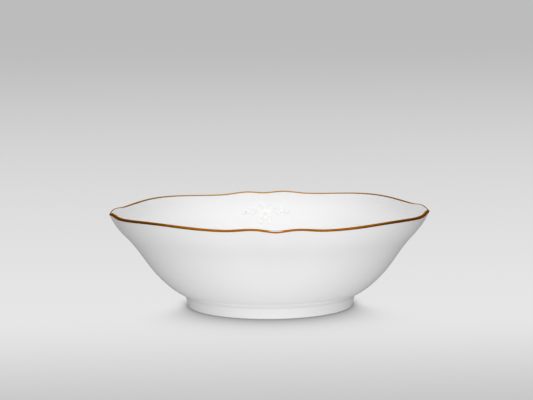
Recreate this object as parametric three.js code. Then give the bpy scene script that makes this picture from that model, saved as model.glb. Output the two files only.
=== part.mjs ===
// A scalloped porcelain serving bowl: a flaring shell luted to a turned foot ring, a gilded lip,
// and four sprays of applied white flowers and leaves round the inside wall.
//
// Millimetres, +Z up. The origin is the centre of the circle that the foot stands on. The rim has
// four quarters alike, and one of its pointed tips faces -Y, the front.

import * as THREE from "three";
import { mergeVertices } from "three/addons/utils/BufferGeometryUtils.js";

// ---- Driving dimensions -------------------------------------------------------------------

// Shell
const RIM_RADIUS = 122.5; // mean radius of the lip, outside
const RIM_HEIGHT = 74.4; // top of the lip at a pointed tip
const WALL = 3.2; // thickness of the lower wall
const LIP = 2.4; // thickness of the wall just under the rounded lip
const FLOOR = 4.0; // thickness of the floor

// Foot ring
const FOOT_HEIGHT = 9.0; // from the table to the luted seat under the shell
const FOOT_TOP_RADIUS = 66.2; // outside, at the seat
const FOOT_BASE_RADIUS = 64.1; // outside, at the table
const FOOT_STAND = 2.6; // width of the bare flat that it stands on
const FOOT_SEAT = 6.0; // width of the luted seat
const FOOT_EDGE = 0.6; // chamfer on both edges of the standing flat

// Scalloped rim: each quarter runs tip, ear, waist, crown, and back again
const QUARTERS = 4;
const EAR_ANGLE = 7.3; // degrees from the tip to the small raised ear beside it
const WAIST_ANGLE = 17.8; // degrees from the tip to the pinched waist
const RISE = { tip: 0, ear: 1.1, waist: -0.2, crown: 1.75 }; // lip's height over RIM_HEIGHT
const SWELL = { tip: 1.35, waist: -1.5, crown: 0.4 }; // lip's radius over RIM_RADIUS
const SCALLOP_DEPTH = 48; // how far down the wall the scallops have faded out

// Gilded band
const GILT = 0.3; // thickness, with the raised edge of the fired band
const GILT_OUTSIDE = 1.5; // how far it runs down the outside of the lip
const GILT_INSIDE = 0.7; // and down the inside

// Applied flowers
const RELIEF = 1.2; // height of a flower over the wall
const LEAF_RELIEF = 0.8; // height of a leaf
const SLIP = 0.3; // gap that each applied piece keeps to the wall
const ROSE_RADIUS = 6.5;
const BLOSSOM_RADIUS = 4.6;
const BUD_LENGTH = 5.5;
const LEAF_LENGTH = 7.4;
const ROSE_DOWN = 20.6; // from the lip to the middle of the rose
const BLOSSOM_DOWN = 18.0; // from the lip to the middles of the blossoms
const SPACING = 0.6; // least clear distance between the pieces of a spray
const PETAL_NOTCH = 0.22; // how deep the notches between petals are, as a share of the radius

// Fineness
const SEGMENTS = 96; // round the shell and the gilding
const FOOT_SEGMENTS = 72;
const CROWDING = 0.5; // how much closer the segments lie at the tips than on average
const WALL_STEPS = 11;
const LIP_STEPS = 4;

const degrees = THREE.MathUtils.degToRad;

// ---- Materials ----------------------------------------------------------------------------

function finish(color, roughness, metalness) {
  return new THREE.MeshStandardMaterial({ color, roughness, metalness });
}
const glazedPorcelain = finish(0xf1f1ef, 0.12, 0);
const footPorcelain = finish(0xeeeeeb, 0.2, 0);
const gilding = finish(0xb8741a, 0.22, 1);
const whiteRelief = finish(0xf8f8f7, 0.18, 0);

// ---- The scalloped rim --------------------------------------------------------------------

// Swings from one extreme to the next along half a cosine wave, mirrored about every tip.
function swing(angle, stops) {
  const quarter = 360 / QUARTERS;
  const turned = THREE.MathUtils.euclideanModulo((angle * 180) / Math.PI + quarter / 2, quarter);
  const fromTip = Math.abs(turned - quarter / 2);
  const next = Math.max(1, stops.findIndex(([at]) => fromTip <= at));
  const [startAngle, start] = stops[next - 1];
  const [endAngle, end] = stops[next];
  const share = (fromTip - startAngle) / (endAngle - startAngle);
  return start + ((end - start) * (1 - Math.cos(Math.PI * share))) / 2;
}

const halfQuarter = 180 / QUARTERS;
const riseStops = [
  [0, RISE.tip],
  [EAR_ANGLE, RISE.ear],
  [WAIST_ANGLE, RISE.waist],
  [halfQuarter + 1e-6, RISE.crown],
];
const swellStops = [
  [0, SWELL.tip],
  [WAIST_ANGLE, SWELL.waist],
  [halfQuarter + 1e-6, SWELL.crown],
];

// Moves a plain turned point (radius, height) at an angle to its place on the scalloped shell.
function scalloped(radius, height, angle) {
  const fade = THREE.MathUtils.smoothstep(height, RIM_HEIGHT - SCALLOP_DEPTH, RIM_HEIGHT);
  const r = radius + fade * swing(angle, swellStops);
  const z = height + fade * swing(angle, riseStops);
  return [r * Math.sin(angle), -r * Math.cos(angle), z];
}

// ---- Sections -----------------------------------------------------------------------------

// The outside of the wall, as shares of the spread from foot to lip and of the climb between them:
// heel, belly, hollow below the flare, flare, and the lip turned up a little. It ends where the
// rounded lip begins, which stands over that end by LIP_ROLL of its thickness.
const LIP_ROLL = 0.72;
const WALL_LINE = [
  [0, 0],
  [0.1, 0.045],
  [0.242, 0.137],
  [0.415, 0.29],
  [0.572, 0.474],
  [0.727, 0.66],
  [0.905, 0.845],
  [1, 1],
];
const outsideLine = new THREE.SplineCurve(
  WALL_LINE.map(
    ([spread, climb]) =>
      new THREE.Vector2(
        FOOT_TOP_RADIUS + spread * (RIM_RADIUS - FOOT_TOP_RADIUS),
        FOOT_HEIGHT + climb * (RIM_HEIGHT - LIP_ROLL * LIP - FOOT_HEIGHT),
      ),
  ),
);

// The inward normal of the outside line, square to it.
function inward(share) {
  const along = outsideLine.getTangentAt(share);
  return new THREE.Vector2(-along.y, along.x);
}

// A point inside the wall's thickness at a share of the outside line: depth 0 is outside, 1 inside.
function throughWall(share, depth) {
  const thickness = THREE.MathUtils.lerp(WALL, LIP, share);
  return outsideLine.getPointAt(share).addScaledVector(inward(share), thickness * depth);
}

// Shares of the outside line, from the heel to where the gilding starts, and on to the lip.
const giltShare = 1 - GILT_OUTSIDE / outsideLine.getLength();
const giltInsideShare = 1 - GILT_INSIDE / outsideLine.getLength();
const evenShares = Array.from({ length: WALL_STEPS }, (_, i) => (i / WALL_STEPS) * giltShare);

// The rounded lip, from the end of the outside line over to the inside of the wall.
function lipArc(proud) {
  const middle = throughWall(1, 0.5);
  const outwards = inward(1).negate();
  const start = outwards.angle();
  return Array.from({ length: LIP_STEPS + 1 }, (_, i) => {
    const angle = start + (Math.PI * i) / LIP_STEPS;
    const reach = LIP / 2 + proud;
    return new THREE.Vector2(Math.cos(angle), Math.sin(angle)).multiplyScalar(reach).add(middle);
  });
}

// The lip under the gilding, outside to inside. The shell and the band share these points.
const giltFloor = [throughWall(giltShare, 0), ...lipArc(0), throughWall(giltInsideShare, 1)];

// The inside of the wall, from just under the gilding down to the floor.
const floorHeight = FOOT_HEIGHT + FLOOR;
const insideShares = evenShares
  .filter((share) => throughWall(share, 1).y > floorHeight + FLOOR / 4)
  .reverse();
const insideLine = insideShares.map((share) => throughWall(share, 1));
const floorEdge = new THREE.Vector2(insideLine.at(-1).x - WALL, floorHeight);

const shellSection = [
  new THREE.Vector2(0, FOOT_HEIGHT),
  ...evenShares.map((share) => throughWall(share, 0)),
  ...giltFloor,
  ...insideLine,
  floorEdge,
  new THREE.Vector2(0, floorHeight),
];

const giltTop = [
  throughWall(giltShare, 0).addScaledVector(inward(giltShare), -GILT),
  ...lipArc(GILT),
  throughWall(giltInsideShare, 1).addScaledVector(inward(giltInsideShare), GILT),
];
// Its floor runs the same way as on the shell, so that both split their faces along the same
// diagonals and meet exactly. That leaves the band inside out, which insideOut() puts right.
const giltSection = [...giltFloor, ...giltTop.reverse(), giltFloor[0]];

const footSection = [
  [FOOT_BASE_RADIUS - FOOT_EDGE, 0],
  [FOOT_BASE_RADIUS, FOOT_EDGE],
  [FOOT_TOP_RADIUS, FOOT_HEIGHT],
  [FOOT_TOP_RADIUS - FOOT_SEAT, FOOT_HEIGHT],
  [FOOT_BASE_RADIUS - FOOT_STAND - 2 * FOOT_EDGE, FOOT_EDGE],
  [FOOT_BASE_RADIUS - FOOT_STAND - FOOT_EDGE, 0],
  [FOOT_BASE_RADIUS - FOOT_EDGE, 0],
].map(([radius, height]) => new THREE.Vector2(radius, height));

// ---- Turning and bending ------------------------------------------------------------------

// Turns a section about Z, front first.
function turned(section, segments) {
  return new THREE.LatheGeometry(section, segments).rotateX(Math.PI / 2);
}

// Drops the copies of a vertex and the seams they leave, so that the body is one closed surface.
function closed(geometry) {
  geometry.deleteAttribute("normal");
  geometry.deleteAttribute("uv");
  const merged = mergeVertices(geometry, 1e-4);
  merged.computeVertexNormals();
  return merged;
}

// Moves the vertices of a turned body on to the scalloped shell, with more of them at the tips.
function scallop(geometry) {
  const place = geometry.attributes.position;
  for (let i = 0; i < place.count; i++) {
    const radius = Math.hypot(place.getX(i), place.getY(i));
    const even = Math.atan2(place.getX(i), -place.getY(i));
    const angle = even - (CROWDING * Math.sin(QUARTERS * even)) / QUARTERS;
    if (radius > 0) place.setXYZ(i, ...scalloped(radius, place.getZ(i), angle));
  }
  return geometry;
}

// Turns every face of a body round.
function insideOut(geometry) {
  const corners = geometry.index.array;
  for (let i = 0; i < corners.length; i += 3) {
    [corners[i + 1], corners[i + 2]] = [corners[i + 2], corners[i + 1]];
  }
  return geometry;
}

// The place on the inside wall at the front that is `across` from the tip, to the left for someone
// looking from the middle of the bowl, `down` the wall from the lip, and `proud` of the surface.
function onWall(across, down, proud) {
  const share = 1 - down / outsideLine.getLength();
  const place = throughWall(share, 1).addScaledVector(inward(share), proud);
  return scalloped(place.x, place.y, across / place.x);
}

// An applied piece: its outline, drawn flat with +Y up the wall, as thick as its relief, bent to
// the wall and kept clear of it by the slip.
function applied(outline, relief, across, down, lean) {
  const body = new THREE.ExtrudeGeometry(outline, { depth: relief, bevelEnabled: false });
  body.rotateZ(lean);
  const place = body.attributes.position;
  for (let i = 0; i < place.count; i++) {
    const [x, y, height] = [place.getX(i), place.getY(i), place.getZ(i)];
    // An outline's right is the bowl's left here, so x is taken away.
    place.setXYZ(i, ...onWall(across - x, down - y, SLIP + height));
  }
  return closed(body);
}

// ---- Outlines of the applied pieces -------------------------------------------------------

// A flower of so many round petals.
function petals(radius, count) {
  const steps = count * 6;
  const corners = Array.from({ length: steps }, (_, i) => {
    const angle = (i / steps) * Math.PI * 2;
    const lobe = Math.abs(Math.cos((angle * count) / 2));
    const reach = radius * (1 - PETAL_NOTCH + PETAL_NOTCH * lobe);
    return new THREE.Vector2(reach * Math.sin(angle), reach * Math.cos(angle));
  });
  return new THREE.Shape(corners);
}

// A leaf or bud, pointed at its tip, lying along +Y from its stalk end at the origin. The curves'
// middle points stand out a whole width, so that the blade is about as wide as its name says.
function blade(length, width) {
  const outline = new THREE.Path();
  outline.quadraticCurveTo(width, length * 0.3, 0, length);
  outline.quadraticCurveTo(-width, length * 0.3, 0, 0);
  return new THREE.Shape(outline.getPoints(7));
}

// ---- The parts ----------------------------------------------------------------------------

const bowl = new THREE.Group();

function part(name, geometry, material, parent = bowl) {
  const mesh = new THREE.Mesh(geometry, material);
  mesh.name = name;
  parent.add(mesh);
}

part("bowl_shell", closed(scallop(turned(shellSection, SEGMENTS))), glazedPorcelain);
part("foot_ring", closed(turned(footSection, FOOT_SEGMENTS)), footPorcelain);
part("rim_gilding", closed(insideOut(scallop(turned(giltSection, SEGMENTS)))), gilding);

// One spray, alike on both sides of its rose: each piece with its name, its outline, its relief, and
// how far it lies across from the tip, down from the lip, and leaning from straight up the wall.
const rose = petals(ROSE_RADIUS, 6);
const blossom = petals(BLOSSOM_RADIUS, 5);
const bud = blade(BUD_LENGTH, BUD_LENGTH * 0.55);
const leaf = blade(LEAF_LENGTH, LEAF_LENGTH * 0.5);
const blossomAcross = ROSE_RADIUS + BLOSSOM_RADIUS + SPACING;
const budDown = ROSE_DOWN - ROSE_RADIUS - SPACING;
const outerLeafAcross = blossomAcross + BLOSSOM_RADIUS * 0.75 + SPACING;
const outerLeafDown = BLOSSOM_DOWN + BLOSSOM_RADIUS * 0.75 + SPACING;
const lowerLeafDown = ROSE_DOWN + ROSE_RADIUS + SPACING;

function halfSpray(side, sign) {
  return [
    [`blossom_${side}`, blossom, RELIEF, sign * blossomAcross, BLOSSOM_DOWN, 0],
    [`bud_${side}`, bud, LEAF_RELIEF, sign * BUD_LENGTH * 0.4, budDown, sign * 38],
    [`outer_leaf_${side}`, leaf, LEAF_RELIEF, sign * outerLeafAcross, outerLeafDown, sign * 95],
    [`lower_leaf_${side}`, leaf, LEAF_RELIEF, sign * LEAF_LENGTH * 0.3, lowerLeafDown, sign * 145],
  ];
}
const sprayPieces = [
  ["rose", rose, RELIEF, 0, ROSE_DOWN, 0],
  ...halfSpray("left", 1),
  ...halfSpray("right", -1),
];

// Four sprays alike, one under each pointed tip of the rim.
["front", "right", "back", "left"].forEach((side, turn) => {
  const spray = new THREE.Group();
  spray.rotation.z = degrees((360 / QUARTERS) * turn);
  bowl.add(spray);
  for (const [name, outline, relief, across, down, lean] of sprayPieces) {
    const body = applied(outline, relief, across, down, degrees(lean));
    part(`${side}_${name}`, body, whiteRelief, spray);
  }
});

export default bowl;
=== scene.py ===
# %% [markdown]
# # A scalloped serving bowl with a gilded rim
# This lesson builds the looks of a white porcelain serving bowl round its imported CAD frame. The bowl
# has a thin flaring wall with a four-part scalloped lip, a gold line on that lip, a low
# foot ring, and four sprays of white flowers in low relief inside the wall.
#
# Lengths are in metres, in the frame's own axes: +Z is up and -Y is the front.

# %% Load the frame
import math

import bmesh
import bpy
import numpy as np
from mathutils import Matrix, Vector, geometry


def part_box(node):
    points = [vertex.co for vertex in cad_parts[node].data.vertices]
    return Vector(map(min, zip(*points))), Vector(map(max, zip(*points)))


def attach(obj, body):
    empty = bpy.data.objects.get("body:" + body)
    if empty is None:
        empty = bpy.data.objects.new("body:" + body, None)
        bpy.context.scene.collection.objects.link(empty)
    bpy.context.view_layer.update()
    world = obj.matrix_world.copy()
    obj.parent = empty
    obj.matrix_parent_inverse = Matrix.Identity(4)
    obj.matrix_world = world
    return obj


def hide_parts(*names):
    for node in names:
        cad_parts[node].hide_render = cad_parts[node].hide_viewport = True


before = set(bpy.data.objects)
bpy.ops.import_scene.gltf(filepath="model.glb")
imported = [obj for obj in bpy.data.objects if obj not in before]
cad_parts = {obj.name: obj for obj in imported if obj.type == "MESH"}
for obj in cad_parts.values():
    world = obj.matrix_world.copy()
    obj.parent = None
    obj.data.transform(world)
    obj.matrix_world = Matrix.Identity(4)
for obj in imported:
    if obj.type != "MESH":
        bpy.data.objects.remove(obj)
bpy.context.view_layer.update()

mm = 0.001
shell_low, shell_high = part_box("bowl_shell")
foot_low, foot_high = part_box("foot_ring")
print("shell", tuple(shell_low), tuple(shell_high))
print("foot ring", tuple(foot_low), tuple(foot_high))

# %% [markdown]
# ## The scalloped rim
# A plain bowl is turned on a wheel, and its rim is then cut and pressed to a pattern. Here the
# pattern has four quarters alike. Each runs from a small pointed tip over a raised ear, down to a
# pinched waist, up to a high broad crown, and back again. It could be drawn as one curve, but a rule
# that says how far the rim rises and swells at each angle is easier to read and to change. Half a
# cosine wave joins one extreme to the next, so the rim never has a corner that wasn't asked for.
#
# No large bowl leaves the kiln quite true. The heat pulls the rim into a faint saddle, about half a
# millimetre deep, the tips at the two sides sag by about a millimetre, and the back sags by less than
# half of one. The rule adds all three. It lowers the rim, or lifts it by no more than a hair, so the
# bowl stays inside its frame's box.

# %% The rule for the rim
quarters = 4
rise_stops = [(0, 0), (7.3, 1.1 * mm), (17.8, -0.2 * mm), (45, 1.75 * mm)]
swell_stops = [(0, 1.35 * mm), (17.8, -1.5 * mm), (45, 0.4 * mm)]


def swing(angle, stops):
    """The value at an angle, mirrored about every tip, half a cosine wave from stop to stop."""
    quarter = 360 / quarters
    from_tip = abs((math.degrees(angle) + quarter / 2) % quarter - quarter / 2)
    for (low, start), (high, end) in zip(stops, stops[1:]):
        if from_tip <= high:
            break
    share = (from_tip - low) / (high - low)
    return start + (end - start) * (1 - math.cos(math.pi * share)) / 2


lip_height = shell_high.z - rise_stops[-1][1]
scallop_depth = 48 * mm
kiln_warp = 0.6 * mm
most_lift = 0.34
side_sag = 1.2 * mm
back_sag = 0.4 * mm


def scalloped(radius, height, angle):
    """Moves a turned point to the scalloped, slightly warped bowl. Both fade out down the wall."""
    fade = min(max((height - lip_height + scallop_depth) / scallop_depth, 0), 1)
    fade = fade * fade * (3 - 2 * fade)
    r = radius + fade * swing(angle, swell_stops)
    warp = kiln_warp * max(-most_lift, math.sin(2 * angle))
    warp += side_sag * abs(math.sin(angle)) ** 30
    warp += back_sag * max(0.0, -math.cos(angle)) ** 3
    z = height + fade * (swing(angle, rise_stops) - warp)
    return Vector((r * math.sin(angle), -r * math.cos(angle), z))


print("lip height at a tip", round(lip_height / mm, 2), "mm")

# %% [markdown]
# ## The section of the wall
# The potter's template for the outside has a full heel over the foot, a belly, a slight hollow, a
# flare, and a lip that turns up a little. A few stations fix it. A draughtsman would bend a springy
# strip through them, and the same strip can be worked out: it is the curve through the stations whose
# curvature never jumps. That matters on a glossy glaze, because a jump in curvature shows as a line
# in the reflections.

# %% A springy strip through a few stations
def springy(stations, steps):
    """A smooth curve through the stations, as evenly spaced points."""
    at = np.array(stations, float)
    run = np.concatenate([[0], np.cumsum(np.linalg.norm(np.diff(at, axis=0), axis=1))])
    gap = np.diff(run)
    balance = np.eye(len(at))
    load = np.zeros_like(at)
    for i in range(1, len(at) - 1):
        balance[i, i - 1:i + 2] = gap[i - 1], 2 * (gap[i - 1] + gap[i]), gap[i]
        load[i] = 6 * ((at[i + 1] - at[i]) / gap[i] - (at[i] - at[i - 1]) / gap[i - 1])
    bend = np.linalg.solve(balance, load)
    fine = []
    for i, length in enumerate(gap):
        for b in np.linspace(0, 1, 40, endpoint=False):
            a = 1 - b
            pull = ((a**3 - a) * bend[i] + (b**3 - b) * bend[i + 1]) * length**2 / 6
            fine.append(a * at[i] + b * at[i + 1] + pull)
    return evenly(np.array(fine + [at[-1]]), steps)


def evenly(points, steps):
    """The same line with its points spaced evenly along it."""
    run = np.concatenate([[0], np.cumsum(np.linalg.norm(np.diff(points, axis=0), axis=1))])
    wanted = np.linspace(0, run[-1], steps + 1)
    return np.column_stack([np.interp(wanted, run, points[:, k]) for k in range(2)])


# %% [markdown]
# The stations are shares of the spread from foot to lip and of the climb between them, so the wall
# follows the frame if its size changes. The inside of the wall lies one thickness in from the outside,
# square to it, and the wall thins towards the lip, as a jiggered wall does.

# %% The outside and the inside of the wall
lip = 2.4 * mm
wall = 3.2 * mm
floor_height = shell_low.z + 4.0 * mm
foot_top_radius = foot_high.x
rim_radius = shell_high.x - swell_stops[0][1] - 0.1 * mm
wall_end = lip_height - 0.72 * lip
wall_steps = 96
stations = [
    (0, 0), (0.1, 0.045), (0.242, 0.137), (0.415, 0.29),
    (0.572, 0.474), (0.727, 0.66), (0.905, 0.845), (1, 1),
]
spread = rim_radius - foot_top_radius
climb = wall_end - shell_low.z
heel_to_lip = [(foot_top_radius + s * spread, shell_low.z + c * climb) for s, c in stations]
outside = springy(heel_to_lip, wall_steps)
along = np.gradient(outside, axis=0)
along /= np.linalg.norm(along, axis=1)[:, None]
inward = np.column_stack([-along[:, 1], along[:, 0]])
inside = outside + inward * np.linspace(wall, lip, wall_steps + 1)[:, None]
wall_length = np.linalg.norm(np.diff(outside, axis=0), axis=1).sum()
print("wall", round(wall_length / mm, 1), "mm from heel to lip")

# %% [markdown]
# The lip is half round. The floor meets the wall in a long easy curve that a spoon can follow, and the
# underside is slightly domed, so that it doesn't sag in the kiln.

# %% The lip, the floor and the whole section
def arc(middle, start, end, reach, steps):
    """Points on a round from one angle to another, ends included."""
    angles = np.linspace(start, end, steps + 1)
    return middle + reach * np.column_stack([np.cos(angles), np.sin(angles)])


def eased(start, start_pull, end_pull, end, steps):
    """Points on a curve that leaves and arrives along its two pulls."""
    ends = [Vector((*p, 0)) for p in (start, start_pull, end_pull, end)]
    return np.array([p[:2] for p in geometry.interpolate_bezier(*ends, steps + 1)])


lip_middle = (outside[-1] + inside[-1]) / 2
lip_start = math.atan2(*(-inward[-1])[::-1])
lip_round = arc(lip_middle, lip_start, lip_start + math.pi, lip / 2, 12)

floor_ease = 12 * mm
turn_at = int(np.argmax(inside[:, 1] > floor_height + 3.5 * mm))
turn_slope = along[turn_at]
drop = (inside[turn_at, 1] - floor_height) / turn_slope[1]
floor_start = inside[turn_at] - turn_slope * drop
floor_curve = eased(inside[turn_at], floor_start, floor_start, floor_start - (floor_ease, 0), 10)
underside_rise = 0.5 * mm

shell_section = np.vstack([
    [(0, shell_low.z + underside_rise), (foot_top_radius * 0.6, shell_low.z + underside_rise * 0.6)],
    outside,
    lip_round[1:-1],
    inside[turn_at + 1:][::-1],
    floor_curve,
    [(floor_curve[-1, 0] * share, floor_height) for share in (0.75, 0.5, 0.25, 0)],
])
print("section points", len(shell_section))

# %% [markdown]
# ## Turning a section
# A turned piece is a section swept round an axis, which is what the spin operator does. The section
# is a chain of edges in the XZ plane. A full turn with use_merge joins its last copy to its first.
# The copies of a point on the axis still have to be merged, which closes the poles. After that the
# normals are made to point out again, because a spin can leave them either way. On a thin bent body
# the operator that recalculates normals can settle on the wrong side, so the sign of the volume has
# the last word: a closed body whose faces look in has a negative one.

# %% Spin a section into a closed surface
def facing_out(bm):
    """Makes the faces of a closed body agree, and turns them all round if they look in."""
    bmesh.ops.recalc_face_normals(bm, faces=bm.faces)
    if bm.calc_volume(signed=True) < 0:
        bmesh.ops.reverse_faces(bm, faces=bm.faces)
    return bm


def spun(section, steps, ring=False):
    """A bmesh with the section, a list of (radius, height), turned fully about Z, front first."""
    bm = bmesh.new()
    chain = [bm.verts.new((0, -radius, height)) for radius, height in section]
    edges = [bm.edges.new(pair) for pair in zip(chain, chain[1:])]
    if ring:
        edges.append(bm.edges.new((chain[-1], chain[0])))
    bmesh.ops.spin(
        bm, geom=chain + edges, cent=(0, 0, 0), axis=(0, 0, 1), angle=math.tau,
        steps=steps, use_merge=True, use_duplicate=False,
    )
    bmesh.ops.remove_doubles(bm, verts=bm.verts, dist=0.001 * mm)
    return facing_out(bm)


def bent_to_rim(bm):
    """Moves every vertex of a turned bmesh to its place on the scalloped bowl."""
    for v in bm.verts:
        radius = math.hypot(v.co.x, v.co.y)
        if radius > mm:
            v.co = scalloped(radius, v.co.z, math.atan2(v.co.x, -v.co.y))
    return bm


def piece(name, bm, material, stands_for):
    """Makes a smooth-shaded object of a bmesh, which rides on the bowl and hides its CAD node."""
    mesh = bpy.data.meshes.new(name)
    bm.normal_update()
    bm.to_mesh(mesh)
    bm.free()
    mesh.shade_smooth()
    mesh.materials.append(material)
    obj = bpy.data.objects.new(name, mesh)
    bpy.context.scene.collection.objects.link(obj)
    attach(obj, "root")
    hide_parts(stands_for)
    return obj


# %% [markdown]
# ## Finishes
# The next cells make the finishes. Two small helpers keep them short: one adds a node and sets its
# fields and sockets, and the other makes an empty node group with named sockets. What more than one
# finish needs is a group: the ripple of the glaze, its specks, and the marks of use.

# %% Helpers for node trees
def add(tree, kind, fields=None, **sockets):
    """Adds a node. A socket's value is a number, a tuple, or an output socket to link from."""
    node = tree.nodes.new(kind)
    for name, value in (fields or {}).items():
        setattr(node, name, value)
    for name, value in sockets.items():
        feed(tree, node, name.replace("_", " "), value)
    return node


def feed(tree, node, name, value):
    """Sets or links one input of a node, by its name or its number."""
    socket = node.inputs[int(name) if name.isdigit() else name]
    if isinstance(value, bpy.types.NodeSocket):
        tree.links.new(value, socket)
    else:
        socket.default_value = value


def new_group(name, inputs, outputs):
    """An empty node group with its input and output nodes."""
    group = bpy.data.node_groups.new(name, "ShaderNodeTree")
    for title, kind, value in inputs:
        socket = group.interface.new_socket(title, in_out="INPUT", socket_type=kind)
        socket.default_value = value
    for title, kind in outputs:
        group.interface.new_socket(title, in_out="OUTPUT", socket_type=kind)
    return group, group.nodes.new("NodeGroupInput"), group.nodes.new("NodeGroupOutput")


def place_group(tree, group, **sockets):
    """Places a group in a material's tree."""
    return add(tree, "ShaderNodeGroup", {"node_tree": group}, **sockets)


def math_node(tree, operation, first, second=0.0, clamp=False):
    """One Math node; returns its output."""
    node = add(tree, "ShaderNodeMath", {"operation": operation, "use_clamp": clamp})
    feed(tree, node, "0", first)
    feed(tree, node, "1", second)
    return node.outputs[0]


def blend(tree, factor, first, second):
    """One colour Mix node; returns its output."""
    node = add(tree, "ShaderNodeMix", {"data_type": "RGBA"})
    feed(tree, node, "0", factor)
    feed(tree, node, "6", first)
    feed(tree, node, "7", second)
    return node.outputs[2]


# %% [markdown]
# A fired glaze is never optically flat. It has long lazy swells where it ran, and a fine skin like
# orange peel. The group gives a height for a Bump node, with the long swell and the fine skin mixed.

# %% Group: ripple of the glaze
glaze_ripple, group_in, group_out = new_group(
    "glaze_ripple",
    [("Swell Size", "NodeSocketFloat", 60.0), ("Skin Size", "NodeSocketFloat", 900.0),
     ("Skin", "NodeSocketFloat", 0.1)],
    [("Height", "NodeSocketFloat")],
)
where = add(glaze_ripple, "ShaderNodeTexCoord").outputs["Object"]
sizes = group_in.outputs
swell = add(glaze_ripple, "ShaderNodeTexNoise", Vector=where, Scale=sizes["Swell Size"], Detail=1.0)
skin = add(glaze_ripple, "ShaderNodeTexNoise", Vector=where, Scale=sizes["Skin Size"], Detail=2.0)
fine = math_node(glaze_ripple, "MULTIPLY", skin.outputs["Fac"], group_in.outputs["Skin"])
feed(glaze_ripple, group_out, "Height", math_node(glaze_ripple, "ADD", swell.outputs["Fac"], fine))

# %% [markdown]
# Even fine porcelain has a few pinholes and iron specks a third of a millimetre across. Each cell of
# a Voronoi texture has one centre and one random colour: the distance to the centre draws the speck,
# and the colour decides which few cells get one.

# %% Group: specks in the glaze
glaze_specks, group_in, group_out = new_group(
    "glaze_specks",
    [("Spacing", "NodeSocketFloat", 120.0), ("Share", "NodeSocketFloat", 0.04),
     ("Radius", "NodeSocketFloat", 0.03)],
    [("Mask", "NodeSocketFloat")],
)
where = add(glaze_specks, "ShaderNodeTexCoord").outputs["Object"]
cells = add(glaze_specks, "ShaderNodeTexVoronoi", Vector=where, Scale=group_in.outputs["Spacing"])
chance = add(glaze_specks, "ShaderNodeSeparateColor", Color=cells.outputs["Color"]).outputs[0]
chosen = math_node(glaze_specks, "LESS_THAN", chance, group_in.outputs["Share"])
near = math_node(glaze_specks, "LESS_THAN", cells.outputs["Distance"], group_in.outputs["Radius"])
feed(glaze_specks, group_out, "Mask", math_node(glaze_specks, "MULTIPLY", chosen, near))

# %% [markdown]
# Marks of use are dull patches from washing and faint smears from hands. They change how glossy a
# surface is more than its colour. The mask is soft noise with most of its range cut away, so that
# most of the surface stays clean.

# %% Group: marks of use
marks_of_use, group_in, group_out = new_group(
    "marks_of_use",
    [("Patch Size", "NodeSocketFloat", 45.0), ("Grit Size", "NodeSocketFloat", 700.0),
     ("Amount", "NodeSocketFloat", 0.5)],
    [("Mask", "NodeSocketFloat")],
)
where = add(marks_of_use, "ShaderNodeTexCoord").outputs["Object"]
sizes = group_in.outputs
patches = add(marks_of_use, "ShaderNodeTexNoise", Vector=where, Scale=sizes["Patch Size"], Detail=3.0)
grit = add(marks_of_use, "ShaderNodeTexNoise", Vector=where, Scale=sizes["Grit Size"], Detail=4.0)
soft = add(marks_of_use, "ShaderNodeMapRange", Value=patches.outputs["Fac"], From_Min=0.45, From_Max=0.75)
broken = math_node(marks_of_use, "MULTIPLY", soft.outputs["Result"], grit.outputs["Fac"])
scaled = math_node(marks_of_use, "MULTIPLY", broken, sizes["Amount"])
feed(marks_of_use, group_out, "Mask", scaled)

# %% [markdown]
# ## Glazed porcelain
# The body is a white clay under a clear hard glass. One Principled shader does both: a white base
# that scatters light evenly, and a sharp reflection. In the corner over the foot the base is painted a
# little darker and cooler: the glaze pools there, and the darkening is also painted shade in the crease.
# A few specks show through.

# %% Make the porcelain
def principled(name, **sockets):
    """A new material with a Principled shader; returns the material, its tree and the shader."""
    material = bpy.data.materials.new(name)
    material.use_nodes = True
    tree = material.node_tree
    shader = tree.nodes["Principled BSDF"]
    for title, value in sockets.items():
        feed(tree, shader, title.replace("_", " "), value)
    return material, tree, shader


def height_mask(tree, low, high):
    """1 at and below the low height, 0 at and above the high one, in the bowl's own metres."""
    where = add(tree, "ShaderNodeTexCoord").outputs["Object"]
    height = add(tree, "ShaderNodeSeparateXYZ", Vector=where).outputs["Z"]
    band = add(tree, "ShaderNodeMapRange", {"interpolation_type": "SMOOTHSTEP"}, Value=height,
               From_Min=low, From_Max=high, To_Min=1.0, To_Max=0.0)
    return band.outputs["Result"]


porcelain_white = (0.80, 0.80, 0.80, 1)
pooled_glaze_and_shade_white = (0.74, 0.742, 0.745, 1)
speck_brown = (0.30, 0.24, 0.18, 1)
ripple_depth = 0.02 * mm


def glazed(name, colour):
    """A glazed porcelain finish; returns the material, its tree and its shader."""
    material, tree, shader = principled(name, IOR=1.5)
    # Painted shade in the crease over the foot, with glaze pooled there too: a darker, cooler base in a
    # band round the foot's top.
    below_top = height_mask(tree, foot_high.z - 0.5 * mm, foot_high.z + 3 * mm)
    above_side = math_node(tree, "SUBTRACT", 1.0, height_mask(tree, foot_high.z - 2 * mm, foot_high.z))
    pooled_glaze_and_shade = math_node(tree, "MULTIPLY", below_top, above_side)
    specks = place_group(tree, glaze_specks, Spacing=110.0, Share=0.03, Radius=0.018).outputs["Mask"]
    base = blend(tree, pooled_glaze_and_shade, colour, pooled_glaze_and_shade_white)
    feed(tree, shader, "Base Color", blend(tree, specks, base, speck_brown))
    marks = place_group(tree, marks_of_use, Patch_Size=40.0, Grit_Size=800.0, Amount=0.5).outputs["Mask"]
    gloss = add(tree, "ShaderNodeMapRange", Value=marks, To_Min=0.07, To_Max=0.2)
    feed(tree, shader, "Roughness", gloss.outputs["Result"])
    ripple = place_group(tree, glaze_ripple, Swell_Size=55.0, Skin_Size=900.0, Skin=0.03)
    bump = add(tree, "ShaderNodeBump", Height=ripple.outputs["Height"], Distance=ripple_depth, Strength=1.0)
    feed(tree, shader, "Normal", bump.outputs["Normal"])
    return material, tree, shader


porcelain, _, _ = glazed("glazed_porcelain", porcelain_white)
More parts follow.
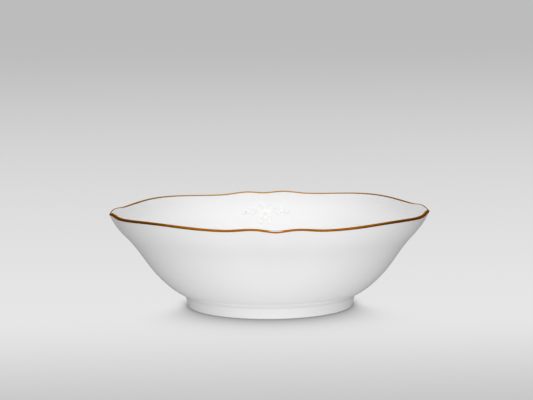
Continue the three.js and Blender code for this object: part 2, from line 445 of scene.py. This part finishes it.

# %% [markdown]
# ## Gilding
# Liquid gold is painted on with a brush as the bowl turns, and fired. Laid this thin over glaze it is
# deeper and browner than solid gold, uneven in tone, and a little satin. The top and the inside of the
# lip are painted a yellower gold, a painted highlight where the lip's top catches the light. At the very
# points of the rim a strip over the round of the lip is painted plain white and not metallic, a painted
# highlight where the lip mirrors the bright surroundings. Two values that the band's own mesh carries
# say where a point is: how far round the lip, and how near a tip.

# %% Make the gold
gilding, tree, shader = principled("gilding", Specular_Tint=(0.7, 0.42, 0.08, 1))
gold_deep = (0.26, 0.073, 0.0, 1)
gold_bright = (0.42, 0.145, 0.0, 1)
painted_highlight_gold = (0.42, 0.205, 0.0, 1)
where = add(tree, "ShaderNodeTexCoord").outputs["Object"]
mottle = add(tree, "ShaderNodeTexNoise", Vector=where, Scale=420.0, Detail=3.0)
tone = blend(tree, mottle.outputs["Fac"], gold_deep, gold_bright)
round_lip = add(tree, "ShaderNodeAttribute", {"attribute_name": "round_lip"}).outputs["Fac"]
near_tip = add(tree, "ShaderNodeAttribute", {"attribute_name": "near_tip"}).outputs["Fac"]


def between(tree, value, low, high, soft):
    """1 where the value lies between two limits, 0 outside, with soft edges."""
    rise = add(tree, "ShaderNodeMapRange", Value=value, From_Min=low - soft, From_Max=low + soft)
    fall = add(tree, "ShaderNodeMapRange", Value=value, From_Min=high + soft, From_Max=high - soft)
    return math_node(tree, "MULTIPLY", rise.outputs["Result"], fall.outputs["Result"])


# Painted highlight: the top and the inside of the lip are a yellower gold.
tone = blend(tree, between(tree, round_lip, 0.48, 2.0, 0.08), tone, painted_highlight_gold)
# Painted highlight: a white, non-metallic strip over the round of the lip at the very tips.
painted_tip_highlight = math_node(tree, "MULTIPLY", between(tree, round_lip, 0.33, 0.47, 0.03),
                   between(tree, near_tip, 0.84, 2.0, 0.06))
feed(tree, shader, "Base Color", blend(tree, painted_tip_highlight, tone, porcelain_white))
feed(tree, shader, "Metallic", math_node(tree, "SUBTRACT", 1.0, painted_tip_highlight))
marks = place_group(tree, marks_of_use, Patch_Size=90.0, Grit_Size=1500.0, Amount=1.0).outputs["Mask"]
gloss = add(tree, "ShaderNodeMapRange", Value=marks, To_Min=0.36, To_Max=0.5)
feed(tree, shader, "Roughness", gloss.outputs["Result"])
bump = add(tree, "ShaderNodeBump", Height=mottle.outputs["Fac"], Distance=0.01 * mm, Strength=1.0)
feed(tree, shader, "Normal", bump.outputs["Normal"])

# %% [markdown]
# ## The shell
# With the section and the spin ready, the shell is two steps: turn it, then bend it to the rim.

# %% Make the shell
turn_steps = 360
shell_bm = bent_to_rim(spun(shell_section, turn_steps))
print("shell faces", len(shell_bm.faces))
piece("bowl_shell_glazed", shell_bm, porcelain, "bowl_shell")

# %% [markdown]
# ## The gold line
# The line covers the round of the lip. It could be a second material on the shell's own faces, but
# then its edge would follow the mesh. A skin of its own, a few hundredths of a millimetre proud and
# sunk a little into the shell, has an edge that can waver as a brushed line does: it is laid from a
# flat band, spun in a unit frame and then wrapped over the lip. It is narrow at the front and back,
# wider outside at the two sides, where it stops short of the lip's inner edge, and it dips over each
# tip, where the brush is pressed down.

# %% Wrap a band over the lip
round_length = math.pi * lip / 2
film = 0.04 * mm
sunk = 0.12 * mm
tip_reach = math.radians(12)
corner_reach = math.radians(30)


def over_lip(run, proud):
    """The point of the section this far round the lip from its outside, and proud of it."""
    if run < 0:
        return outside[-1] + along[-1] * run - inward[-1] * proud
    if run > round_length:
        return inside[-1] - along[-1] * (run - round_length) + inward[-1] * proud
    at = lip_start + run / (lip / 2)
    return lip_middle + (lip / 2 + proud) * np.array((math.cos(at), math.sin(at)))


def brushed_edges(angle):
    """Where the gold starts outside and ends inside the lip, at this angle; and how near a tip is."""
    quarter = math.tau / quarters
    from_tip = abs((angle + quarter / 2) % quarter - quarter / 2)
    near = max(0.0, 1 - from_tip / tip_reach)
    waver = 0.04 * math.sin(7 * angle + 1) + 0.03 * math.sin(17 * angle + 2)
    side_on = math.cos(2 * angle)
    dip = (0.6 - 0.3 * side_on) * near ** 2 - 0.8 * near * (1 - near)
    start = (0.30 * side_on - 0.1 + waver - dip) * mm
    corner = (1 - side_on) / 2 * max(0.0, 1 - from_tip / corner_reach)
    end = round_length + (0.12 - waver - 1.3 * corner ** 2) * mm
    return start, end, near


# %% Make the gold line
across_steps = 16
top_line = [(1 + i / across_steps, 1) for i in range(across_steps + 1)]
under_line = [(1 + i / across_steps, 0) for i in range(across_steps, -1, -1)]
gilt_bm = spun(top_line + under_line, turn_steps, ring=True)
round_layer = gilt_bm.verts.layers.float.new("round_lip")
tip_layer = gilt_bm.verts.layers.float.new("near_tip")
for v in gilt_bm.verts:
    angle = math.atan2(v.co.x, -v.co.y)
    start, end, near = brushed_edges(angle)
    run = start + (end - start) * (math.hypot(v.co.x, v.co.y) - 1)
    v[round_layer] = run / round_length
    v[tip_layer] = near
    radius, height = over_lip(run, film if v.co.z > 0.5 else -sunk)
    v.co = scalloped(radius, height, angle)
piece("gold_line", facing_out(gilt_bm), gilding, "rim_gilding")

# %% [markdown]
# ## The foot ring
# The foot is turned separately and luted on with slip. Its sides are glazed, with a small cove of
# glaze where it meets the shell, and its edges are rounded. The standing edge is wiped bare before
# firing and is ground smooth afterwards. Bare clay is matt, so the foot's gloss changes within its
# lowest millimetre, and there its colour is painted dark grey, a painted shade where it meets the floor.

# %% Make the foot ring
foot_base_radius = 64.1 * mm
foot_stand = 2.6 * mm
foot_edge = 0.6 * mm
foot_seat = 6.0 * mm
cove_down = 3.4 * mm
cove_up = 5
cove_sunk = 0.05 * mm
seat_height = foot_high.z + 0.3 * mm

outer_middle = np.array((foot_base_radius - foot_edge, foot_edge))
outer_edge = arc(outer_middle, -math.pi / 2, 0, foot_edge, 5)
taper = (foot_top_radius - foot_base_radius) / foot_high.z
cove_start = np.array((foot_base_radius + taper * (foot_high.z - cove_down), foot_high.z - cove_down))
corner = np.array((foot_top_radius, foot_high.z))
cove_end = outside[cove_up] + inward[cove_up] * cove_sunk
cove_curve = eased(
    cove_start, cove_start + (corner - cove_start) * 0.6,
    cove_end - along[cove_up] * np.linalg.norm(cove_end - corner) * 0.6, cove_end, 14,
)
inner_middle = outer_middle - (foot_stand, 0)
inner_edge = arc(inner_middle, math.pi, 1.5 * math.pi, foot_edge, 5)
seat = [(foot_top_radius, seat_height), (foot_top_radius - foot_seat, seat_height)]
foot_section = np.vstack([outer_edge, cove_curve, seat, inner_edge])
foot_porcelain, tree, shader = glazed("foot_porcelain", porcelain_white)
# Painted shade: the foot is dark grey up to a quarter of a millimetre, fading out by three quarters, where
# it meets the floor. The same band is made matt, as bare clay is.
contact_shade_grey = (0.40, 0.395, 0.385, 1)
bare_up_to = 0.25 * mm
glazed_from = 0.75 * mm
bare_edge_and_shade = height_mask(tree, bare_up_to, glazed_from)
glazed_base = shader.inputs["Base Color"].links[0].from_socket
glazed_gloss = shader.inputs["Roughness"].links[0].from_socket
feed(tree, shader, "Base Color", blend(tree, bare_edge_and_shade, glazed_base, contact_shade_grey))
matt = add(tree, "ShaderNodeMapRange", Value=bare_edge_and_shade, To_Min=glazed_gloss, To_Max=0.75)
feed(tree, shader, "Roughness", matt.outputs["Result"])
foot_bm = spun(foot_section, turn_steps, ring=True)
piece("foot_ring_glazed", foot_bm, foot_porcelain, "foot_ring")

# %% [markdown]
# ## Flowers in low relief
# The white flowers are laid on the raw wall in thick white slip, petal by petal, and glazed over.
# White on white, they show only by the light on their slopes, so the slopes have to be real: a bump
# in a material would vanish at a low angle. Each piece is modelled flat first, as a bed whose height
# follows a rule, and is then laid on the curved wall. The flat frame has x to the right, y up the wall
# and z out of it.

# %% Lay flat work on the wall
down_the_wall = np.linspace(wall_length, 0, wall_steps + 1)
bedding = 0.3 * mm


def on_wall(across, down, proud, turn):
    """The place on the inside wall this far across from a tip, down from the lip, and proud of it."""
    place = [
        np.interp(down, down_the_wall[::-1], inside[::-1, k] + inward[::-1, k] * proud) for k in range(2)
    ]
    return scalloped(place[0], place[1], turn + across / place[0])


def backed(bm):
    """Gives open flat work a skirt that reaches into the wall, and closes it underneath."""
    bmesh.ops.remove_doubles(bm, verts=bm.verts, dist=0.001 * mm)
    border = [e for e in bm.edges if e.is_boundary]
    skirt = bmesh.ops.extrude_edge_only(bm, edges=border)["geom"]
    for v in (g for g in skirt if isinstance(g, bmesh.types.BMVert)):
        v.co.z = -bedding
    bmesh.ops.holes_fill(bm, edges=[e for e in bm.edges if e.is_boundary], sides=0)
    return facing_out(bm)


def lay(bm, across, down, lean, turn):
    """Turns flat work by its lean and bends it to the wall."""
    bmesh.ops.rotate(bm, verts=bm.verts, cent=(0, 0, 0), matrix=Matrix.Rotation(lean, 3, "Z"))
    for v in bm.verts:
        v.co = on_wall(across - v.co.x, down - v.co.y, v.co.z, turn)
    return bm


# %% [markdown]
# A flower's bed is a disc of rings and spokes, which a spin makes from one spoke. Its petals stand in
# tiers. A petal is a cushion between its inner and outer ends and between its two sides, with a dent
# down its middle, and the highest tier at a point is the one that shows. The outermost tier also gives
# the bed its outline.

# %% Model a flower
def petal_height(reach, angle, tier):
    """Height of one tier of petals at a point of the flower."""
    count, inner, outer, notch, turn, high = tier
    side = 2 * ((angle - turn) * count / math.tau % 1) - 1
    tip = outer * (1 - notch * abs(side) ** 3)
    length = (reach - inner) / (tip - inner)
    if not 0 < length < 1:
        return 0.0
    cushion = (math.sin(math.pi * length ** 0.75) * (1 - abs(side) ** 4)) ** 0.8
    dent = 0.35 * math.exp(-(side / 0.35) ** 2) * math.sin(math.pi * length)
    return high * cushion * (1 - dent)


def flower(tiers, rings, spokes):
    """A flat-backed flower; a tier is its count, inner and outer radius, notch, turn and height."""
    bm = bmesh.new()
    spoke = [bm.verts.new((i / rings, 0, 0)) for i in range(rings + 1)]
    edges = [bm.edges.new(pair) for pair in zip(spoke, spoke[1:])]
    bmesh.ops.spin(
        bm, geom=spoke + edges, cent=(0, 0, 0), axis=(0, 0, 1), angle=math.tau,
        steps=spokes, use_merge=True, use_duplicate=False,
    )
    bmesh.ops.remove_doubles(bm, verts=bm.verts, dist=1e-6)
    count, _, outer, notch, turn, _ = tiers[0]
    for v in bm.verts:
        angle = math.atan2(v.co.y, v.co.x)
        side = 2 * ((angle - turn) * count / math.tau % 1) - 1
        reach = math.hypot(v.co.x, v.co.y) * outer * (1 - notch * abs(side) ** 3)
        lift = max(petal_height(reach, angle, tier) for tier in tiers)
        v.co = (reach * math.cos(angle), reach * math.sin(angle), lift)
    return backed(bm)


rose_tiers = [
    (6, 2.0 * mm, 5.9 * mm, 0.22, 0.0, 0.60 * mm),
    (5, 0.7 * mm, 4.0 * mm, 0.18, 0.5, 0.75 * mm),
    (3, -0.6 * mm, 2.1 * mm, 0.12, 1.1, 0.85 * mm),
]
blossom_tiers = [
    (5, 0.6 * mm, 4.4 * mm, 0.26, math.radians(18), 0.60 * mm),
    (1, -1.2 * mm, 1.2 * mm, 0.0, 0.0, 0.70 * mm),
]

# %% [markdown]
# A leaf, a bud or a stalk is a blade: a strip that is swept along a straight or bent line, wide in the
# middle and pointed at the ends. A leaf also gets a groove along its midrib, and side veins that slant
# forward, as many as its ribs say.

# %% Model blades
def blade(bm, start, heading, length, width, high, bend=0.0, ribs=0, steps=18, sides=10):
    """Adds one blade to a bmesh of flat work, from its stalk end towards its heading."""
    one = bmesh.new()
    bmesh.ops.create_grid(one, x_segments=steps, y_segments=sides, size=1)
    for v in one.verts:
        t, side = (v.co.x + 1) / 2, v.co.y
        turn = heading + bend * (t - 0.5)
        half = width / 2 * math.sin(math.pi * min(t, 1) ** 0.8) ** 0.75 if 0 < t < 1 else 0
        lift = high * (1 - side * side) ** 0.8 * math.sin(math.pi * min(t, 1)) ** 0.5
        if ribs:
            lift *= 1 - 0.4 * math.exp(-(side / 0.16) ** 2)
            lift *= 1 + 0.10 * math.sin(math.tau * (ribs * t - 0.8 * abs(side)))
        v.co = (
            start[0] + math.sin(turn) * length * t + math.cos(turn) * half * side,
            start[1] + math.cos(turn) * length * t - math.sin(turn) * half * side,
            lift if abs(side) < 1 and 0 < t < 1 else 0,
        )
    backed(one)
    mesh = bpy.data.meshes.new("one blade")
    one.to_mesh(mesh)
    one.free()
    bm.from_mesh(mesh)
    bpy.data.meshes.remove(mesh)
    return bm


pair_apart = 0.1 * mm


def leaf_twig(leaf_length, leaf_width, high):
    """A stalk with one leaf at its end and a pair beside it, growing up along y."""
    bm = bmesh.new()
    stalk = leaf_length * 0.55
    blade(bm, (0, -stalk * 0.5), 0.0, stalk * 1.6, 0.7 * mm, high * 0.6, steps=10, sides=6)
    blade(bm, (0, stalk * 0.7), 0.0, leaf_length, leaf_width, high, bend=0.3, ribs=5)
    for sign in (-1, 1):
        start = (sign * pair_apart, stalk * 0.45)
        blade(bm, start, sign * 1.0, leaf_length * 0.72, leaf_width * 0.8, high * 0.9,
              bend=-sign * 0.5, ribs=4)
    return bm


def bud_twig(length, high):
    """A stalk with a closed bud between two small leaves."""
    bm = bmesh.new()
    blade(bm, (0, -length * 0.5), 0.0, length, 0.7 * mm, high * 0.6, steps=10, sides=6)
    blade(bm, (0, length * 0.25), 0.0, length * 0.7, length * 0.38, high)
    for sign in (-1, 1):
        start = (sign * pair_apart, length * 0.15)
        blade(bm, start, sign * 0.5, length * 0.45, length * 0.16, high * 0.7,
              bend=-sign * 0.5, steps=10, sides=6)
    return bm


# %% [markdown]
# Each spray has one rose between two blossoms, two buds above, a leafy twig at each end and two
# leaves below. All are laid out from the tip above them, across and down the wall, and the two halves
# mirror each other. A slight lean that differs from piece to piece keeps them from looking stamped.

# %% Lay out the four sprays
slip_white = (0.86, 0.86, 0.855, 1)
white_relief, _, _ = glazed("white_relief", slip_white)
rose_radius = rose_tiers[0][2]
blossom_radius = blossom_tiers[0][2]
rose_down = 20.6 * mm
blossom_down = 17.6 * mm
spacing = 0.6 * mm
bud_length = 5.2 * mm
leaf_length = 3.7 * mm
blossom_across = rose_radius + blossom_radius + spacing
makers_hand = np.random.default_rng(7)


def lean(degrees):
    """A lean as set out, with the small chance error of a hand."""
    return math.radians(degrees + makers_hand.uniform(-5, 5))


for turn_index, side in enumerate(("front", "right", "back", "left")):
    turn = math.tau / quarters * turn_index
    work = lay(flower(rose_tiers, 30, 96), 0, rose_down, lean(0), turn)
    piece(f"{side}_rose_relief", work, white_relief, f"{side}_rose")
    for half, sign in (("left", 1), ("right", -1)):
        layout = [
            ("blossom", flower(blossom_tiers, 22, 80), blossom_across, blossom_down, 0),
            ("bud", bud_twig(bud_length, 0.45 * mm), 2.2 * mm, rose_down - rose_radius - 1.5 * mm, 34),
            ("outer_leaf", leaf_twig(leaf_length, 2.2 * mm, 0.5 * mm),
             blossom_across + blossom_radius + 0.4 * mm, blossom_down + 1.6 * mm, 98),
            ("lower_leaf",
             blade(bmesh.new(), (0, 0), 0, 5.0 * mm, 3.4 * mm, 0.5 * mm, bend=0.4, ribs=5),
             2.2 * mm, rose_down + rose_radius + 0.2 * mm, 148),
        ]
        for kind, work, across, down, degrees in layout:
            lay(work, sign * across, down, lean(sign * degrees), turn)
            name = f"{side}_{kind}_{half}"
            piece(f"{name}_relief", work, white_relief, name)
print("applied pieces", quarters * (1 + 2 * len(layout)))

# %% [markdown]
# ## Stage
# The bowl stands on a sheet whose colour is a painted glow, as of opal acrylic on a light table, so the
# bowl throws no broad shadow on it. Only a soft dark line is left close round the foot, a painted
# shadow. A rule draws it: the shade fades with the distance from the foot's edge, fast at the sides and
# slowly towards the front, as it does under a lamp that hangs a little behind. The sheet's painted glow
# is strongest under the bowl and fades both ways. The light that falls on the bowl is all set in the
# next cell, so the sheet is hidden from every ray but the camera's and lights nothing.

# %% Stage
sheet_radius = 40.0
stage_bm = bmesh.new()
bmesh.ops.create_circle(stage_bm, cap_ends=True, segments=96, radius=sheet_radius)
stage_mesh = bpy.data.meshes.new("stage")
stage_bm.to_mesh(stage_mesh)
stage_bm.free()
stage = bpy.data.objects.new("stage", stage_mesh)
bpy.context.scene.collection.objects.link(stage)
stage.visible_diffuse = False
stage.visible_glossy = False
stage.visible_transmission = False
stage.visible_shadow = False

far_glow = 0.503
near_glow = 0.79
fading_behind = 0.42
side_fade = 4.6 * mm
front_fade = 23.5 * mm
contact_fade = 1.8 * mm
sheet, tree, shader = principled(
    "opal_sheet", Roughness=0.9, Specular_IOR_Level=0.0, Emission_Strength=1.0,
)
feed(tree, shader, "Base Color", (0, 0, 0, 1))
where = add(tree, "ShaderNodeTexCoord").outputs["Object"]
depth = add(tree, "ShaderNodeSeparateXYZ", Vector=where).outputs["Y"]
behind = math_node(tree, "MULTIPLY", math_node(tree, "MAXIMUM", depth, 0.0), -fading_behind)
behind = math_node(tree, "EXPONENT", behind)
before = add(tree, "ShaderNodeMapRange", {"interpolation_type": "SMOOTHSTEP"}, Value=depth,
             From_Min=-0.45, From_Max=-0.05, To_Min=0.0, To_Max=1.0).outputs["Result"]
glow = add(tree, "ShaderNodeMapRange", Value=math_node(tree, "MULTIPLY", behind, before),
           To_Min=far_glow, To_Max=near_glow).outputs["Result"]
reach = add(tree, "ShaderNodeVectorMath", {"operation": "LENGTH"})
feed(tree, reach, "0", where)
reach = reach.outputs["Value"]
outside_foot = math_node(tree, "SUBTRACT", reach, foot_base_radius - 0.5 * mm)
outside_foot = math_node(tree, "MAXIMUM", outside_foot, 0.0)
forward = math_node(tree, "DIVIDE", math_node(tree, "MULTIPLY", depth, -1.0), reach)
fade = add(tree, "ShaderNodeMapRange", {"interpolation_type": "SMOOTHSTEP"}, Value=forward,
           From_Min=0.0, From_Max=0.8, To_Min=side_fade, To_Max=front_fade).outputs["Result"]
# Painted shadow round the foot: a broad fall of shade and a narrow contact line.
for depth_of_shade, power, length in ((0.51, 1.3, fade), (0.5, 1.0, contact_fade)):
    faded = math_node(tree, "POWER", math_node(tree, "DIVIDE", outside_foot, length), power)
    shade = math_node(tree, "EXPONENT", math_node(tree, "MULTIPLY", faded, -1.0))
    shade = math_node(tree, "MULTIPLY", shade, depth_of_shade)
    glow = math_node(tree, "MULTIPLY", glow, math_node(tree, "SUBTRACT", 1.0, shade))
white_glow = add(tree, "ShaderNodeCombineColor", Red=glow, Green=glow, Blue=glow).outputs[0]
feed(tree, shader, "Emission Color", white_glow)
stage_mesh.materials.append(sheet)

# %% [markdown]
# ## Light
# In a studio the bowl would stand in a tent of white cloth, with the strongest lamps in front, so that
# the glaze mirrors no windows. The world stands for the tent. It is dark by itself, and each lamp
# behind the cloth makes a broad soft patch, brightest at its middle: the patch is an exponential of
# how nearly a direction points at the lamp. The camera itself sees a plain even backdrop.

# %% Light
patches = [
    (45, 50, 1.55), (-45, 50, 1.55),
    (0, 90, 0.7),
    (0, -15, 1.32), (45, -50, 0.95), (-45, -50, 0.95), (0, -90, 0.46),
    (135, 15, 0.22), (-135, 15, 0.22), (180, 15, 0.4), (180, 50, 0.3), (180, -50, 0.2),
]
patch_tightness = 6.0
world = bpy.data.worlds.new("studio")
bpy.context.scene.world = world
world.use_nodes = True
tree = world.node_tree
direction = add(tree, "ShaderNodeTexCoord").outputs["Generated"]
light = 0.0
for azimuth, elevation, strength in patches:
    a, e = math.radians(azimuth), math.radians(elevation)
    lamp = Vector((math.sin(a) * math.cos(e), -math.cos(a) * math.cos(e), math.sin(e)))
    towards = add(tree, "ShaderNodeVectorMath", {"operation": "DOT_PRODUCT"})
    feed(tree, towards, "0", direction)
    feed(tree, towards, "1", lamp)
    off = math_node(tree, "SUBTRACT", towards.outputs["Value"], 1.0)
    patch = math_node(tree, "EXPONENT", math_node(tree, "MULTIPLY", off, patch_tightness))
    light = math_node(tree, "ADD", light, math_node(tree, "MULTIPLY", patch, strength))
seen = add(tree, "ShaderNodeLightPath").outputs["Is Camera Ray"]
light = add(tree, "ShaderNodeMix", {"data_type": "FLOAT"}, Factor=seen, A=light, B=far_glow).outputs[0]
feed(tree, tree.nodes["Background"], "Color", (1, 1, 1, 1))
feed(tree, tree.nodes["Background"], "Strength", light)

# %% Camera
camera_turn = math.radians(-1.86)
camera_tilt = math.radians(6.70)
camera_distance = 1225 * mm
camera_lens = 106.7
camera_roll = math.radians(0.41)
look_at = Vector((-2.4 * mm, 0, 81.7 * mm))
camera = bpy.data.objects.new("camera", bpy.data.cameras.new("camera"))
bpy.context.scene.collection.objects.link(camera)
camera.data.lens = camera_lens
back = Vector((0, -math.cos(camera_tilt), math.sin(camera_tilt)))
spin_about_z = Matrix.Rotation(camera_turn, 4, "Z")
stand = spin_about_z @ (look_at + back * camera_distance)
aim = (spin_about_z.to_3x3() @ -back).to_track_quat("-Z", "Y")
facing = aim.to_matrix().to_4x4() @ Matrix.Rotation(-camera_roll, 4, "Z")
camera.matrix_world = Matrix.Translation(stand) @ facing
bpy.context.scene.camera = camera
bpy.context.scene.view_settings.view_transform = "Standard"
